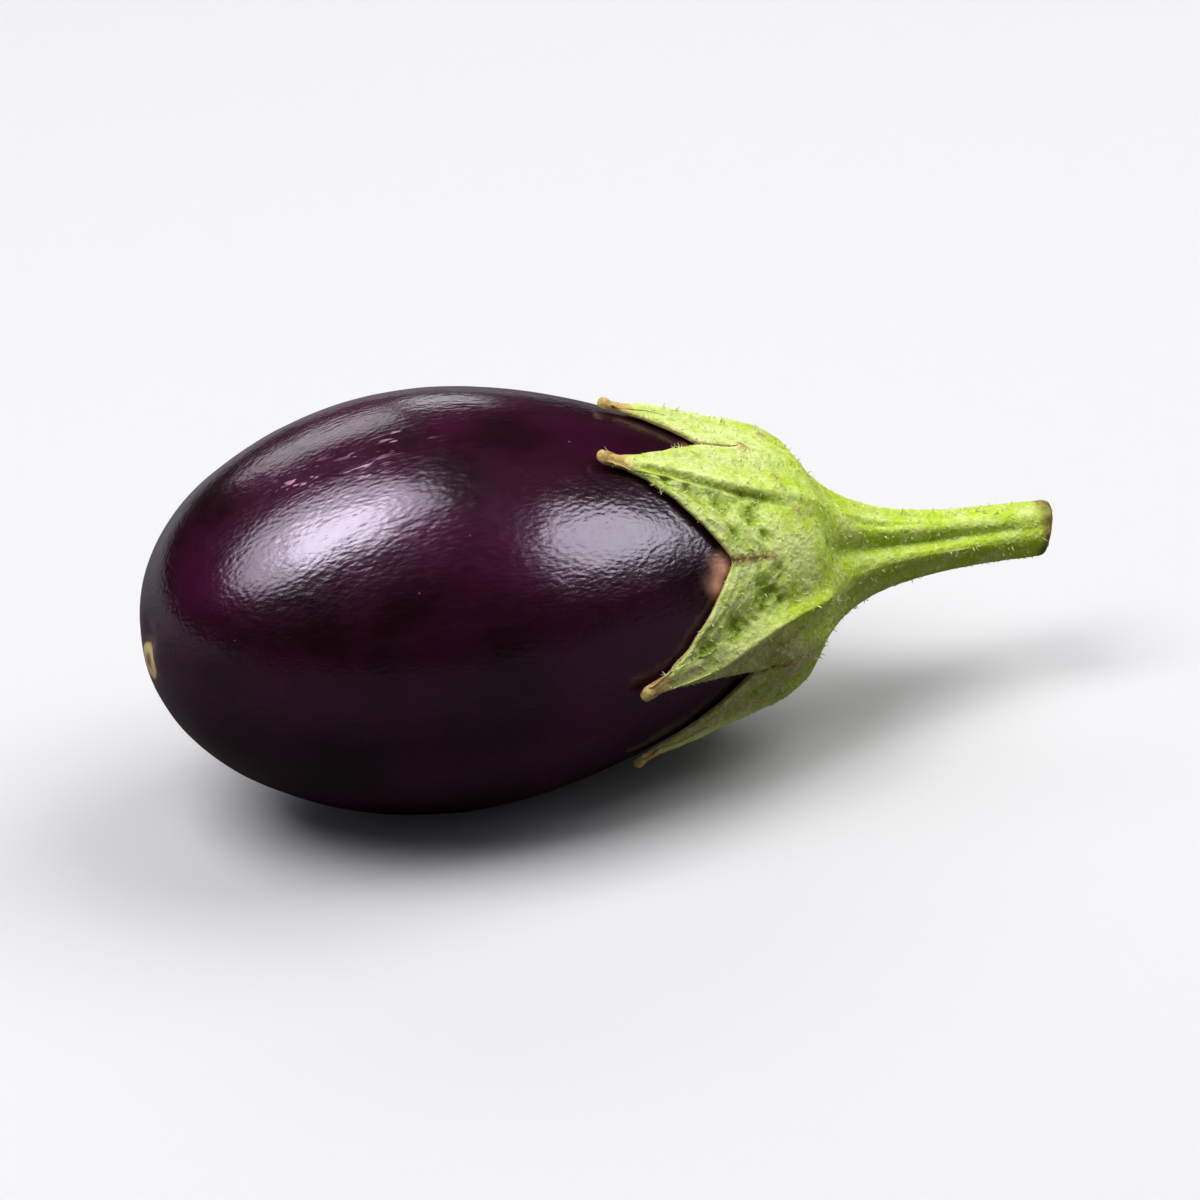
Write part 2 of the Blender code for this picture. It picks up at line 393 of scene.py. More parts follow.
def berry_tree():
    """A berry whose profile is an ellipse with a changing fullness, laid down with a flat underside."""
    labels = ["Length", "Radius", *(f"Fullness {power}" for power in range(1, 5)), "Ovalness"]
    labels += ["Oval Bearing", "Three-Sidedness", "Scar Radius", "Scar Depth", "Unevenness", "Flat Depth"]
    inputs = dict.fromkeys(labels, "NodeSocketFloat")
    inputs.update({"Segments": "NodeSocketInt", "Rings": "NodeSocketInt"})
    inputs.update({"Tilt": "NodeSocketVector", "Material": "NodeSocketMaterial"})
    tree, given, end = geometry_tree("berry", inputs)
    detail = {"Segments": given["Segments"], "Rings": given["Rings"]}
    ball = add(tree, "GeometryNodeMeshUVSphere", detail)["Mesh"]
    places = {"Geometry": ball, "Position": berry_place(tree, given)}
    shaped = add(tree, "GeometryNodeSetPosition", places)
    lumps = add(tree, "ShaderNodeTexNoise", {"Scale": 130.0, "Detail": 1.0}, normalize=False)["Fac"]
    height = add(tree, "ShaderNodeMath", {0: lumps, 1: given["Unevenness"]}, operation="MULTIPLY")[0]
    outwards = add(tree, "GeometryNodeInputNormal")[0]
    offset = add(tree, "ShaderNodeVectorMath", {0: outwards, "Scale": height}, operation="SCALE")[0]
    lumpy = add(tree, "GeometryNodeSetPosition", {"Geometry": shaped[0], "Offset": offset})
    laid = add(tree, "GeometryNodeTransform", {"Geometry": lumpy[0], "Rotation": given["Tilt"]})
    place = add(tree, "GeometryNodeInputPosition")[0]
    x, y, z = add(tree, "ShaderNodeSeparateXYZ", {0: place})
    heights = {"Geometry": laid[0], 2: z}
    lowest = add(tree, "GeometryNodeAttributeStatistic", heights, data_type="FLOAT")["Min"]
    ground = add(tree, "ShaderNodeMath", {0: lowest, 1: given["Flat Depth"]}, operation="ADD")[0]
    lifted = add(tree, "ShaderNodeMath", {0: z, 1: ground}, operation="MAXIMUM")[0]
    above = add(tree, "ShaderNodeCombineXYZ", {"X": x, "Y": y, "Z": lifted})[0]
    resting = add(tree, "GeometryNodeSetPosition", {"Geometry": laid[0], "Position": above})
    return close_tree(tree, resting[0], given["Material"], end)


def berry_place(tree, given):
    """Where the nodes put a point of the unit ball, with the blossom end at the ball's +Z pole."""
    x, y, z = add(tree, "ShaderNodeSeparateXYZ", {0: add(tree, "GeometryNodeInputPosition")[0]})
    full = given["Fullness 4"]
    for lower in (given["Fullness 3"], given["Fullness 2"], given["Fullness 1"], 1.0):
        full = add(tree, "ShaderNodeMath", {0: full, 1: z, 2: lower}, operation="MULTIPLY_ADD")[0]
    flat = add(tree, "ShaderNodeCombineXYZ", {"X": x, "Y": y})[0]
    girth = add(tree, "ShaderNodeVectorMath", {0: flat}, operation="LENGTH")["Value"]
    bearing = add(tree, "ShaderNodeMath", {0: y, 1: x}, operation="ARCTAN2")[0]
    out_of_round = 0.0
    for count, start, size in (
        (2.0, given["Oval Bearing"], given["Ovalness"]),
        (3.0, 0.0, given["Three-Sidedness"]),
    ):
        turned = add(tree, "ShaderNodeMath", {0: bearing, 1: start}, operation="SUBTRACT")[0]
        angle = add(tree, "ShaderNodeMath", {0: turned, 1: count}, operation="MULTIPLY")[0]
        wave = add(tree, "ShaderNodeMath", {0: angle}, operation="COSINE")[0]
        inputs = {0: wave, 1: size, 2: out_of_round}
        out_of_round = add(tree, "ShaderNodeMath", inputs, operation="MULTIPLY_ADD")[0]
    swell = add(tree, "ShaderNodeMath", {0: out_of_round, 1: girth, 2: 1.0}, operation="MULTIPLY_ADD")[0]
    wide = add(tree, "ShaderNodeMath", {0: full, 1: swell}, operation="MULTIPLY")[0]
    radius = add(tree, "ShaderNodeMath", {0: wide, 1: given["Radius"]}, operation="MULTIPLY")[0]
    share = add(tree, "ShaderNodeMath", {0: z, 1: -0.5, 2: 0.5}, operation="MULTIPLY_ADD")[0]
    station = add(tree, "ShaderNodeMath", {0: share, 1: given["Length"]}, operation="MULTIPLY")[0]
    from_axis = add(tree, "ShaderNodeMath", {0: radius, 1: girth}, operation="MULTIPLY")[0]
    near = add(tree, "ShaderNodeMath", {0: from_axis, 1: given["Scar Radius"]}, operation="DIVIDE")[0]
    square = add(tree, "ShaderNodeMath", {0: near, 1: near}, operation="MULTIPLY")[0]
    fading = add(tree, "ShaderNodeMath", {0: square, 1: -1.0}, operation="MULTIPLY")[0]
    dent = add(tree, "ShaderNodeMath", {0: fading}, operation="EXPONENT")[0]
    blossom_end = add(tree, "ShaderNodeMath", {0: z, 1: 0.0}, operation="GREATER_THAN")[0]
    there = add(tree, "ShaderNodeMath", {0: dent, 1: blossom_end}, operation="MULTIPLY")[0]
    inputs = {0: there, 1: given["Scar Depth"], 2: station}
    sunk = add(tree, "ShaderNodeMath", inputs, operation="MULTIPLY_ADD")[0]
    sideways = add(tree, "ShaderNodeMath", {0: radius, 1: x}, operation="MULTIPLY")[0]
    towards = add(tree, "ShaderNodeMath", {0: sideways, 1: -1.0}, operation="MULTIPLY")[0]
    upwards = add(tree, "ShaderNodeMath", {0: radius, 1: y}, operation="MULTIPLY")[0]
    return add(tree, "ShaderNodeCombineXYZ", {"X": sunk, "Y": towards, "Z": upwards})[0]


def skin_material(settings):
    """Waxed eggplant skin.

    The wax makes it glossy over a very dark purple, so the eye sees mostly reflections. Fine wrinkles
    under the wax, about half a millimetre apart, break up their edges.
    """
    material, tree, shader, place = new_material("waxed_purple_skin")
    stretch = {"Vector": place, "Rotation": (0.0, -REST_TILT, 0.0), "Scale": (0.14, 1.0, 1.0)}
    along = add(tree, "ShaderNodeMapping", stretch)[0]
    patches = add(tree, "ShaderNodeTexNoise", {"Vector": place, "Scale": 55.0, "Detail": 3.0})["Fac"]
    wine = add(tree, "ShaderNodeAttribute", attribute_name="wine")["Fac"]
    ripe = add(tree, "ShaderNodeMath", {0: wine, 1: 0.42, 2: patches}, operation="MULTIPLY_ADD")[0]
    amount = add(tree, "ShaderNodeMapRange", {"Value": ripe, 1: 0.46, 2: 0.95})[0]
    shades = {0: amount, 6: (*settings.dark_colour, 1.0), 7: (*settings.wine_colour, 1.0)}
    colour = add(tree, "ShaderNodeMix", shades, data_type="RGBA")[2]
    # Fibres run along the berry, where the skin stretched as it grew, and so do healed scratches, which
    # are pale pink and 0.3 mm wide, in a few places only.
    streaked = add(tree, "ShaderNodeAttribute", attribute_name="streaked")["Fac"]
    fibres = (1.0, 420.0, 4.0, 0.48, 0.78, 0.5, "#3A0C26")
    scratches = (streaked, 1900.0, 2.0, 0.60, 0.66, 1.0, "#C58FB0")
    colour = fleck(tree, colour, along, (fibres, scratches))
    # Breathing pores are pale dots 0.2 mm wide, a few millimetres apart.
    pores = add(tree, "ShaderNodeTexVoronoi", {"Vector": place, "Scale": 340.0})
    dots = add(tree, "ShaderNodeMapRange", {"Value": pores["Distance"], 1: 0.05, 2: 0.03, 4: 0.4})[0]
    picked = add(tree, "ShaderNodeMath", {0: pores["Color"], 1: 0.6}, operation="GREATER_THAN")[0]
    amount = add(tree, "ShaderNodeMath", {0: dots, 1: picked}, operation="MULTIPLY")[0]
    colour = add(tree, "ShaderNodeMix", {0: amount, 6: colour, 7: linear("#9C7A90")}, data_type="RGBA")[2]
    ragged = add(tree, "ShaderNodeTexNoise", {"Vector": place, "Scale": 700.0, "Detail": 3.0})["Fac"]
    stains = (
        ("shaded", 0.60, 1.55, "#E0A488"),
        ("blossom_end", 0.62, 1.25, "#3A1C28"),
        ("scar_ring", 0.75, 1.15, "#4A2E1C"),
        ("scar", 0.80, 1.10, "#CDB27C"),
        ("scar_cracks", 0.85, 1.10, "#5A3C22"),
    )
    colour = stain(tree, colour, ragged, 1.0, stains)
    tree.links.new(colour, shader.inputs["Base Color"])
    spread = {"Value": ragged, 3: settings.roughness - 0.04, 4: settings.roughness + 0.08}
    haze = add(tree, "ShaderNodeMapRange", spread)[0]
    scar = add(tree, "ShaderNodeAttribute", attribute_name="scar")["Fac"]
    rough = add(tree, "ShaderNodeMath", {0: scar, 1: 0.5, 2: haze}, operation="MULTIPLY_ADD")[0]
    tree.links.new(rough, shader.inputs["Roughness"])
    normal = None
    wrinkled = add(tree, "ShaderNodeMapping", {"Vector": place, "Scale": (0.45, 1.0, 1.0)})[0]
    for scale, share in ((2600.0, 0.65), (1300.0, 0.85), (330.0, 1.0)):
        waves = add(tree, "ShaderNodeTexNoise", {"Vector": wrinkled, "Scale": scale, "Detail": 1.0})["Fac"]
        height = {"Height": waves, "Distance": settings.wrinkle_height * share, "Strength": 1.0}
        if normal:
            height["Normal"] = normal
        normal = add(tree, "ShaderNodeBump", height)[0]
    tree.links.new(normal, shader.inputs["Normal"])
    shader.inputs["IOR"].default_value = 1.48
    shader.inputs["Specular Tint"].default_value = linear("#F0E8FF")
    return material


class BerrySettings(bpy.types.PropertyGroup):
    """Sizes and colours of the berry."""

    length: FloatProperty(
        name="Length", description="From the blossom end to under the calyx", default=0.076, unit="LENGTH"
    )
    radius: FloatProperty(
        name="Radius", description="Of the ellipse under the profile", default=0.02245, unit="LENGTH"
    )
    scar_radius: FloatProperty(
        name="Scar Radius", description="Of the dent at the blossom end", default=0.002, unit="LENGTH"
    )
    scar_depth: FloatProperty(name="Scar Depth", description="Of that dent", default=0.0006, unit="LENGTH")
    unevenness: FloatProperty(
        name="Unevenness", description="Height of the skin's soft lumps", default=0.00008, unit="LENGTH"
    )
    flat_depth: FloatProperty(
        name="Flat Depth", description="How far the underside is flattened", default=0.00075, unit="LENGTH"
    )
    wrinkle_height: FloatProperty(
        name="Wrinkles", description="Height of the fine wrinkles", default=0.00004, unit="LENGTH"
    )
    roughness: FloatProperty(
        name="Roughness", description="Of the wax", default=0.19, min=0.0, max=1.0, subtype="FACTOR"
    )
    dark_colour: FloatVectorProperty(
        name="Dark", description="Most of the skin", subtype="COLOR", default=linear("#1C050B")[:3]
    )
    wine_colour: FloatVectorProperty(
        name="Wine", description="Lighter patches", subtype="COLOR", default=linear("#4C0D38")[:3]
    )


class EGGPLANT_OT_berry(bpy.types.Operator):
    """Make the berry with its waxed skin and blossom scar"""

    bl_idname = "eggplant.berry"
    bl_label = "Berry"

    def execute(self, context):
        settings = context.scene.eggplant_berry
        material = skin_material(settings)
        values = {
            "Length": settings.length,
            "Radius": settings.radius,
            "Ovalness": OVALNESS,
            "Oval Bearing": OVAL_BEARING,
            "Three-Sidedness": THREE_SIDED,
            "Scar Radius": settings.scar_radius,
            "Scar Depth": settings.scar_depth,
            "Unevenness": settings.unevenness,
            "Flat Depth": settings.flat_depth,
            "Segments": BERRY_SEGMENTS,
            "Rings": BERRY_RINGS,
            "Tilt": (0.0, REST_TILT, 0.0),
            "Material": material,
        }
        values.update({f"Fullness {power}": FULLNESS[power] for power in range(1, 5)})
        berry = grow("berry", bpy.data.meshes.new("berry"), berry_tree(), values)
        fit_to_node(berry.data, "fruit")
        keep_values(berry.data, skin_marks(points_of(berry.data)))
        dress(berry, "fruit", material)
        return {"FINISHED"}


def skin_marks(places):
    """How much of each mark the skin has at each place."""
    blossom = places[places[:, 0].argmin()]
    from_scar = np.linalg.norm((places - blossom) * (0.3, 1.0, 1.0), axis=1) / MM
    from_scar *= 1.0 + 0.22 * uneven(places, 2.2 * MM, 7)
    marks = {
        "scar": 1.0 - smoothstep(1.8, 2.5, from_scar),
        "scar_ring": 1.0 - smoothstep(2.5, 3.3, from_scar),
        "scar_cracks": (1.0 - smoothstep(0.3, 2.0, from_scar)) * 0.8,
        "blossom_end": 0.55 * np.exp(-((from_scar / 8.0) ** 2)),
    }
    cap = Cap(2)
    for name, spots in SKIN_SPOTS.items():
        stations, bearings, radii, strengths = np.array(spots).T
        middles = cap.laid(cap.bare_skin(cap.polar(stations * MM), np.radians(bearings)))
        marks[name] = soft_dabs(places, middles, radii, strengths)
    return marks


# The calyx and its stem, one green body.


class Cap:
    """The green body's surface: columns run from the cut end over each lobe to its edge and back under."""

    def __init__(self, columns):
        settings = bpy.context.scene.eggplant_berry
        self.length, self.radius = settings.length, settings.radius
        index, step = np.divmod(np.arange(columns * len(LOBES)), columns)
        lobes, looks = np.array(LOBES), np.array(LOOKS)
        lobe, following = lobes[index], lobes[(index + 1) % len(LOBES)]
        share = step / columns
        self.across = 2.0 * share - 1.0
        self.tip_station = lobe[:, 3] * MM
        self.tip_bearing = np.radians(lobe[:, 2])
        self.neck_bearing = np.radians(lobe[:, 0] + (following[:, 0] - lobe[:, 0]) % 360.0 * share)
        before = share <= 0.5
        beside = np.where(before[:, None], looks[index], looks[(index + 1) % len(LOBES)])
        self.crumpled, self.dried, self.furrowed = beside[:, :3].T
        self.grooved, self.ridge, self.midrib_start, self.midrib_end, self.lift = looks[index, 3:].T
        notch = np.where(before[:, None], lobe, following)
        turn = (notch[:, 0] - lobe[:, 2]) % 360.0
        turn = np.radians(np.where(before, turn - 360.0, turn))
        reach = np.sin(pi * share)
        self.edge_station = mix(notch[:, 1] * MM, self.tip_station, reach)
        ragged = np.sin(np.arange(len(share)) * 1.4) * np.sin(tau * share) ** 2
        self.edge_station += EDGE_RAGGEDNESS * ragged * (reach < 0.93)
        finger = self.finger(self.edge_station - self.tip_station) * smoothstep(0.0, 0.6, reach)
        self.edge_polar = self.polar(self.edge_station)
        sideways = finger / self.berry_radius(self.edge_polar, self.tip_bearing)
        widening = turn * (1.0 - reach) ** LOBE_TAPER
        self.edge_bearing = self.tip_bearing + widening + np.where(before, -sideways, sideways)
        self.turn = (self.edge_bearing - self.neck_bearing + pi) % tau - pi

    @staticmethod
    def finger(left):
        """Half the width of a lobe's finger at a distance left to its tip, with a bead at its end."""
        bead = np.sqrt(np.maximum(BEAD_RADIUS**2 - (left - BEAD_RADIUS) ** 2, 0.0))
        return np.where(left < BEAD_RADIUS, bead, np.maximum(bead, FINGER_HALF))

    def polar(self, station):
        """The polar angle of a station, from the blossom end."""
        return np.arccos(np.clip(1.0 - 2.0 * station / self.length, -1.0, 1.0))

    def berry_radius(self, polar, bearing):
        """The berry's radius."""
        full = np.polyval(FULLNESS[::-1], np.cos(polar))
        oval = OVALNESS * np.cos(2.0 * (bearing - OVAL_BEARING)) + THREE_SIDED * np.cos(3.0 * bearing)
        return self.radius * np.sin(polar) * full * (1.0 + oval * np.sin(polar))

    def skin(self, polar, bearing, gap):
        """Points at a gap from the berry's skin."""
        spots = [self.bare_skin(polar + step, bearing) for step in (-NORMAL_STEP, NORMAL_STEP)]
        turns = [self.bare_skin(polar, bearing + step) for step in (-NORMAL_STEP, NORMAL_STEP)]
        outwards = np.cross(spots[1] - spots[0], turns[1] - turns[0])
        outwards /= np.maximum(np.linalg.norm(outwards, axis=1, keepdims=True), 1e-30)
        return self.bare_skin(polar, bearing) + gap * outwards

    def bare_skin(self, polar, bearing):
        """Points on the berry."""
        station = 0.5 * self.length * (1.0 - np.cos(polar))
        return around(station, bearing, self.berry_radius(polar, bearing))

    def bearing(self, out):
        """The columns' bearings, from the neck at 0 to the lobes' edges at 1."""
        return self.neck_bearing + self.turn * out**1.5

    def midrib(self, out):
        """How far each column is from its lobe's midrib, in half widths of the lobe."""
        return self.across - mix(self.midrib_start, self.midrib_end, smoothstep(0.25, 0.85, out))

    def stem(self, station, radius):
        """A ring on the furrowed stem, whose middle line bends a little towards its end."""
        reach = np.clip((station - NECK) / (STEM_END - NECK), 0.0, 1.0)
        furrow = self.furrowed * np.exp(-(((1.0 - np.abs(self.across)) / 0.55) ** 2))
        furrow *= mix(1.0, 0.2, smoothstep(0.3, 0.9, reach))
        rib = RIB_HEIGHT - FURROW_DEPTH * furrow - SHORT_GROOVE_DEPTH * self.short_groove(reach)
        ribbed = radius + rib * 2.0 * radius / (radius + STEM_RADIUS)
        upper = 0.12 * smoothstep(0.7, 1.0, reach) * np.sin(self.neck_bearing)
        nearer = CUT_SLANT * smoothstep(0.85, 1.0, reach) * np.cos(self.neck_bearing)
        bend = around((upper - nearer) * radius, STEM_BEND_BEARING, STEM_BEND * reach**2)
        return around(station, self.neck_bearing, ribbed) + bend

    def short_groove(self, reach):
        """How deep the columns lie in the short groove on the stem's upper side."""
        beside = np.exp(-(((self.neck_bearing - SHORT_GROOVE_BEARING) / 0.10) ** 2))
        return beside * smoothstep(0.0, 0.10, reach) * (1.0 - smoothstep(0.18, 0.40, reach))

    def flare(self, station):
        """The stem's radius, which grows into the calyx's shoulders."""
        return FLARE_START + FLARE_WIDTH * np.exp(-(station - NECK) / FLARE_LENGTH)

    def cover(self, out):
        """A ring on the calyx's outside, from the neck over its shoulder to the lobes' edges."""
        station = mix(NECK, self.edge_station, out)
        left = station - self.tip_station
        finger = 1.0 - smoothstep(*FINGER_RAMP, left)
        blade = mix(mix(NECK_THICKNESS, EDGE_THICKNESS, out**5), FINGER_THICKNESS, finger)
        blade += BEAD_RISE * np.exp(-(((left - BEAD_RADIUS) / BEAD_RADIUS) ** 2))
        midrib = np.exp(-((np.abs(self.midrib(out)) / 0.19) ** 1.3))
        keel = KEEL_HEIGHT * self.ridge * midrib * (1.0 - out**6)
        valley = VALLEY_DEPTH * np.sin(pi * out) * np.sin(pi * np.abs(self.across)) ** 2
        shoulder = SHOULDER_HEIGHT * smoothstep(*SHOULDER_RAMP, station)
        skin = self.berry_radius(self.polar(station), self.bearing(out))
        cap = around(station, self.bearing(out), skin + SKIN_GAP + blade + shoulder + keel - valley)
        onto_stem = smoothstep(*NECK_RAMP, station)[:, None]
        return mix(cap, self.stem(station, self.flare(station)), onto_stem)

    def foot(self, out):
        """The ring just over the berry's skin, under the ring that covers it."""
        return self.skin(self.polar(mix(NECK, self.edge_station, out)), self.bearing(out), SKIN_GAP)

    def laid(self, places):
        """Places tilted and moved to where the eggplant lies."""
        turn = np.array(Euler((0.0, REST_TILT, 0.0)).to_matrix())
        ends = self.bare_skin(np.linspace(0.0, pi, 400)[:, None], np.linspace(0.0, tau, 200)[None, :])
        berry = ends.reshape(-1, 3) @ turn.T
        low, high = (np.array(corner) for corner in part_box("fruit"))
        middle = (low[1] + high[1] - berry[:, 1].min() - berry[:, 1].max()) / 2.0
        return places @ turn.T + (high[0] - berry[:, 0].max(), middle, high[2] - berry[:, 2].max())


def around(station, bearing, radius):
    """Points at a station, a bearing and a distance from the berry's axis."""
    station, bearing, radius = np.broadcast_arrays(station, bearing, radius)
    return np.stack((station, -radius * np.cos(bearing), radius * np.sin(bearing)), -1)


def cap_rings(cap):
    """The rings of the green body, each with its zone and how far it is through that zone."""
    rings = []
    for share in np.linspace(0.0, 1.0, 10)[1:]:
        dome = CUT_DOME * (1.0 - share**2)
        sunk = CUT_SUNK * (1.0 - smoothstep(0.0, PITH_SHARE, share))
        rings.append(("cut", share, cap.stem(CUT_RIM + dome - sunk, share * CUT_RADIUS)))
    corner_radius = cap.flare(CUT_RIM - CUT_CORNER)
    for share in (0.15, 0.35, 0.55, 0.75, 0.9):
        turn = share * pi / 2.0
        station = CUT_RIM - CUT_CORNER * (1.0 - cos(turn))
        rings.append(("round", share, cap.stem(station, mix(CUT_RADIUS, corner_radius, sin(turn)))))
    for share in np.linspace(0.0, 1.0, STEM_RINGS):
        station = mix(CUT_RIM - CUT_CORNER, NECK, share)
        rings.append(("stem", share, cap.stem(station, cap.flare(station))))
    for ring in range(1, LOBE_RINGS + 1):
        out = 1.0 - (1.0 - ring / LOBE_RINGS) ** 1.25
        rings.append(("lobe", out, cap.cover(out)))
    round_edges(cap, rings)
    upper_edge, lower_edge = rings[-1][2], cap.foot(1.0)
    for share in (0.3, 0.7):
        rings.append(("edge", share, mix(upper_edge, lower_edge, share)))
    for share in np.linspace(0.0, 1.0, 12)[:-1]:
        polar = mix(cap.edge_polar, pi, share)
        rings.append(("under", share, cap.skin(polar, cap.bearing(1.0 - share), SKIN_GAP)))
    return lift_tips(cap, rings)


def round_edges(cap, rings):
    """Thin the lobes towards their edges, so that the blades have round rims and the beads are round."""
    rim = cap.foot(1.0)
    dense = np.vstack([mix(rim, np.roll(rim, -1, axis=0), part) for part in (0.0, 0.25, 0.5, 0.75)])
    tips = rim[LOBE_COLUMNS // 2 :: LOBE_COLUMNS]
    for index, (zone, out, places) in enumerate(rings):
        if zone == "lobe" and out > 0.4:
            foot = cap.foot(out)
            bead = 1.0 - smoothstep(*BEAD_RAMP, distance_to(foot, tips))
            depth = np.clip(distance_to(foot, dense) / mix(FINGER_HALF, BEAD_RADIUS, bead), 0.0, 1.0)
            share = mix(RIM_SHARE, 1.0, np.sqrt(1.0 - (1.0 - depth) ** 2))
            rings[index] = (zone, out, foot + (places - foot) * share[:, None])


def lift_tips(cap, rings):
    """Raise the lobes' fingers off the skin a little towards their tips."""
    middle = slice(LOBE_COLUMNS // 2, None, LOBE_COLUMNS)
    tips = cap.foot(1.0)[middle]
    outwards = around(0.0, cap.tip_bearing[middle], cap.lift[middle] * MM)
    lifted = []
    for zone, share, places in rings:
        for tip, way in zip(tips, outwards):
            near = 1.0 - smoothstep(0.0, FINGER_LIFT_REACH, np.linalg.norm(places - tip, axis=1))
            places = places + near[:, None] * way
        lifted.append((zone, share, places))
    return lifted


def cap_mesh(cap, rings):
    """The green body's closed mesh."""
    columns = len(cap.across)
    cut_middle = cap.stem(CUT_STATION - CUT_SUNK, 0.0)[0]
    under_middle = (cap.length + SKIN_GAP, 0.0, 0.0)
    places = np.vstack([ring[2] for ring in rings] + [cut_middle, under_middle])
    first, last = len(places) - 2, len(places) - 1
    last_ring = (len(rings) - 1) * columns
    faces = []
    for column in range(columns):
        following = (column + 1) % columns
        faces.append((first, following, column))
        for start in range(0, last_ring, columns):
            below = start + columns
            faces.append((start + column, start + following, below + following, below + column))
        faces.append((last_ring + column, last_ring + following, last))
    mesh = bpy.data.meshes.new("calyx_and_cut_stem")
    mesh.from_pydata(cap.laid(places), [], faces)
    mesh.update()
    return mesh


def zone_values(rings, columns, zone):
    """How far through a zone each vertex is, or -1 outside it."""
    shares = [ring[1] if ring[0] == zone else -1.0 for ring in rings]
    middles = (0.0 if zone == "cut" else -1.0, 1.0 if zone == "under" else -1.0)
    return np.append(np.repeat(shares, columns), middles)


def spread(rings, values):
    """A value of each column, repeated for every ring and the two middle points."""
    return np.append(np.tile(values, len(rings)), (0.0, 0.0))


def lobe_dabs(cap, rings, places, dabs):
    """Soft dabs, each given by its lobe, how far across and out on it it is, and its size."""
    lobe_rings = [ring for ring in rings if ring[0] == "lobe"]
    middles, sizes = [], []
    for lobe, across, out, size in dabs:
        column = round((lobe + (across + 1.0) / 2.0) * LOBE_COLUMNS) % len(cap.across)
        nearest = min(lobe_rings, key=lambda ring: abs(ring[1] - out))
        middles.append(nearest[2][column])
        sizes.append(size)
    return soft_dabs(places, cap.laid(np.array(middles)), sizes, np.ones(len(dabs)))


def cap_marks(cap, rings, places):
    """The named values that the green body's relief and colours follow."""
    columns = len(cap.across)
    side = np.abs(spread(rings, cap.across))
    zones = ("cut", "round", "stem", "lobe", "under")
    cut, rounded, stem, lobe, under = (zone_values(rings, columns, zone) for zone in zones)
    on_lobe, on_stem = lobe >= 0.0, stem >= 0.0
    out = np.where(on_lobe, lobe, 0.0)
    outs = [ring[1] if ring[0] == "lobe" else 0.0 for ring in rings]
    midrib = np.append(np.concatenate([cap.midrib(each) for each in outs]), (0.0, 0.0))
    edge_ring = max(index for index, ring in enumerate(rings) if ring[0] == "lobe")
    edge = places[edge_ring * columns : (edge_ring + 1) * columns]
    tips = edge[LOBE_COLUMNS // 2 :: LOBE_COLUMNS]
    # The felt is crumpled beyond a crease, which lies closer to the neck beside the midrib than at the
    # notches.
    crease = 0.64 - 0.38 * (1.0 - side)
    crumpled = spread(rings, cap.crumpled) * on_lobe
    blade = smoothstep(0.15, 0.45, np.abs(midrib)) * (1.0 - smoothstep(0.92, 0.99, out))
    furrow = spread(rings, cap.furrowed) * np.exp(-(((1.0 - side) / 0.36) ** 2))
    # A corky bump stands where the seam that goes on from each notch ends.
    seam_bumps = [(number, -1.0, SEAM_START, 0.8) for number in range(len(LOBES))]
    scuff = lobe_dabs(cap, rings, places, seam_bumps)
    scuff = np.maximum(scuff, 0.8 * lobe_dabs(cap, rings, places, SCUFFS))
    short = spread(rings, cap.short_groove(0.14)) * on_stem * smoothstep(0.60, 0.85, stem)
    along_groove = midrib + mix(0.24, 0.08, out)
    groove_ends = smoothstep(0.30, 0.42, out) * (1.0 - smoothstep(0.80, 0.92, out))
    ring_end = (1.0 - smoothstep(0.0, 0.07, stem)) * on_stem
    fading = (1.0 - smoothstep(0.12, 0.28, out)) * on_lobe
    fading = np.where(on_stem, smoothstep(0.15, 0.55, stem), fading)
    before_crease = 1.0 - smoothstep(crease - 0.03, crease + 0.03, out)
    seamed = smoothstep(SEAM_START - 0.02, SEAM_START + 0.04, out)
    grooved = spread(rings, cap.grooved) * groove_ends * on_lobe
    # Dry grey-olive beside the notches: partly real drying, partly painted shade on the lower lobes.
    dried = spread(rings, cap.dried) * smoothstep(0.02, 0.2, np.abs(midrib)) * on_lobe
    marks = {
        # Painted highlight: the felt is painted paler along the midrib ridge, where it catches the light.
        "keel": np.exp(-((midrib / 0.14) ** 2)) * on_lobe * smoothstep(0.2, 0.5, out),
        "groove": np.exp(-((along_groove / 0.10) ** 2)) * grooved,
        "pit": lobe_dabs(cap, rings, places, HOLLOWS) * on_lobe,
        "crumple": crumpled * blade * smoothstep(crease - 0.03, crease + 0.06, out),
        "shoulder": crumpled * smoothstep(0.3, 0.6, side) * smoothstep(0.15, 0.35, out) * before_crease,
        "furrow": np.maximum(furrow * fading, 0.9 * short),
        "felted": smoothstep(0.25, 0.55, out) * on_lobe,
        "dried": dried * smoothstep(0.2, 0.5, out),
        "edge": np.exp(-distance_to(places, edge) / (0.28 * MM)),
        "tip": 1.0 - smoothstep(2.6 * MM, 5.6 * MM, distance_to(places, tips)),
        "seam": np.exp(-(((1.0 - side) / 0.03) ** 2)) * seamed * on_lobe,
        "scuff": scuff,
        "stem_end": np.maximum(ring_end, rounded >= 0.0),
        "cut_face": 1.0 * (cut >= 0.0),
        "pith": (1.0 - smoothstep(0.35, 0.6, cut)) * (cut >= 0.0),
        "under": 1.0 * (under >= 0.0),
    }
    return marks, (on_lobe | on_stem)


def distance_to(places, targets):
    """Each place's distance to the nearest target."""
    tree = kdtree.KDTree(len(targets))
    for index, target in enumerate(targets):
        tree.insert(target, index)
    tree.balance()
    return np.array([tree.find(place)[2] for place in places])


